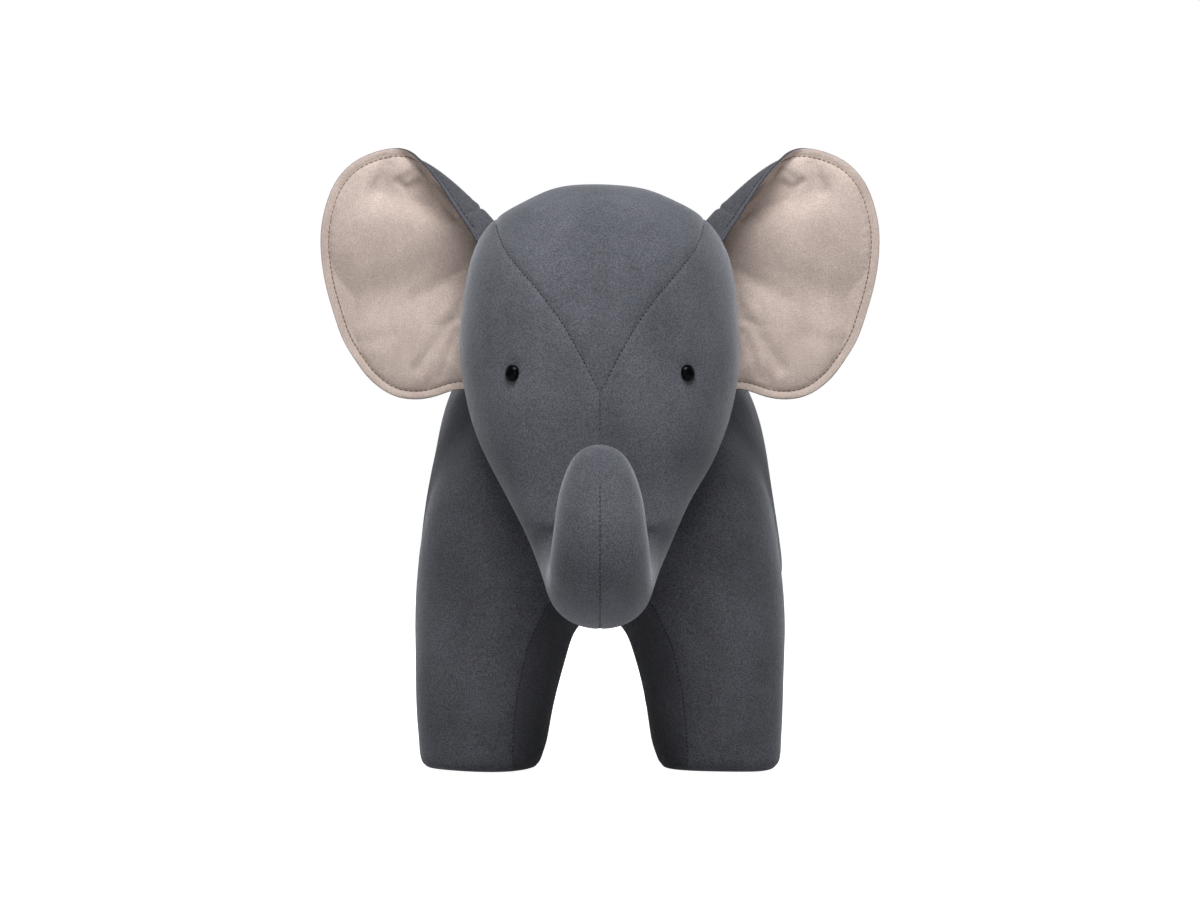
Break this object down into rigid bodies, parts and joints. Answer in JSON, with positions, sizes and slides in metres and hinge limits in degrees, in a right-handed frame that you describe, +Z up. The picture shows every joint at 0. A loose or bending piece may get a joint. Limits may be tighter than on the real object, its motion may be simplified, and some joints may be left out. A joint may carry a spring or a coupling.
{
  "type": "stuffed elephant",
  "caption": "Stuffed elephant with a firm velvet body on stump legs, an upturned trunk, padded ears with pale linings and glossy button eyes.",
  "frame": {"origin": "on the floor, under the middle of the elephant's bounding box", "axes": "+Z up, the elephant faces -Y, its own left side is +X"},
  "size_m": [0.5184, 0.7356, 0.5791],
  "materials": {
    "velvet_grey": "short pile velvet, soft sheen",
    "velvet_beige": "short pile velvet, matte",
    "ear_seam": "velvet seam allowance",
    "eye_black": "polished dome",
    "washer_plastic": "moulded",
    "foam": "cut upholstery foam",
    "fibre_fill": "blown polyester fibre",
    "plywood": "sanded birch plywood",
    "timber": "planed pine",
    "screw_steel": "zinc plated",
    "glide_plastic": "moulded",
    "tail_yarn": "cut yarn"
  },
  "bodies": {
    "elephant": {"leg_post_front_left": "timber", "foot_board_front_left": "plywood", "glide_front_left": "glide_plastic", "leg_foam_front_left": "foam", "foot_sole_front_left": "velvet_grey", "leg_post_front_right": "timber", "foot_board_front_right": "plywood", "glide_front_right": "glide_plastic", "leg_foam_front_right": "foam", "foot_sole_front_right": "velvet_grey", "cross_rail_front": "timber", "leg_post_rear_left": "timber", "foot_board_rear_left": "plywood", "glide_rear_left": "glide_plastic", "leg_foam_rear_left": "foam", "foot_sole_rear_left": "velvet_grey", "leg_post_rear_right": "timber", "foot_board_rear_right": "plywood", "glide_rear_right": "glide_plastic", "leg_foam_rear_right": "foam", "foot_sole_rear_right": "velvet_grey", "cross_rail_rear": "timber", "side_rail_left": "timber", "body_side_left": "velvet_grey", "head_side_left": "velvet_grey", "eye_left": "eye_black", "eye_washer_left": "washer_plastic", "ear_seam_tab_left": "ear_seam", "side_rail_right": "timber", "body_side_right": "velvet_grey", "head_side_right": "velvet_grey", "eye_right": "eye_black", "eye_washer_right": "washer_plastic", "ear_seam_tab_right": "ear_seam", "seat_board": "plywood", "neck_board": "plywood", "foot_screws": "screw_steel", "seat_screws": "screw_steel", "torso_foam": "foam", "head_stuffing": "fibre_fill", "trunk_stuffing": "fibre_fill", "belly_gusset": "velvet_grey", "back_panel": "velvet_grey", "forehead_gusset": "velvet_grey", "tail_tab": "velvet_grey"},
    "ear_left": {"ear_outer_left": "velvet_grey", "ear_lining_left": "velvet_beige", "ear_padding_left": "fibre_fill"},
    "ear_right": {"ear_outer_right": "velvet_grey", "ear_lining_right": "velvet_beige", "ear_padding_right": "fibre_fill"},
    "tail_root": {"tail_loop": "velvet_grey"},
    "tail": {"tail_cover": "velvet_grey", "tail_stuffing": "fibre_fill", "tail_tuft": "tail_yarn"}
  },
  "joints": [
    {"name": "ear_left_swing", "type": "hinge", "parent": "elephant", "child": "ear_left", "pos_m": [0.126, -0.112, 0.435], "axis": [0.1884, 0, -0.9821], "range_deg": [-60, 60], "stiffness_Nm_per_rad": 0.3},
    {"name": "ear_right_swing", "type": "hinge", "parent": "elephant", "child": "ear_right", "pos_m": [-0.126, -0.112, 0.435], "axis": [0.1884, 0, 0.9821], "range_deg": [-60, 60], "stiffness_Nm_per_rad": 0.3},
    {"name": "tail_swing", "type": "hinge", "parent": "elephant", "child": "tail_root", "pos_m": [0, 0.362, 0.326], "axis": [0, 1, 0], "range_deg": [-50, 50]},
    {"name": "tail_lift", "type": "hinge", "parent": "tail_root", "child": "tail", "pos_m": [0, 0.362, 0.326], "axis": [1, 0, 0], "range_deg": [0, 100]}
  ]
}
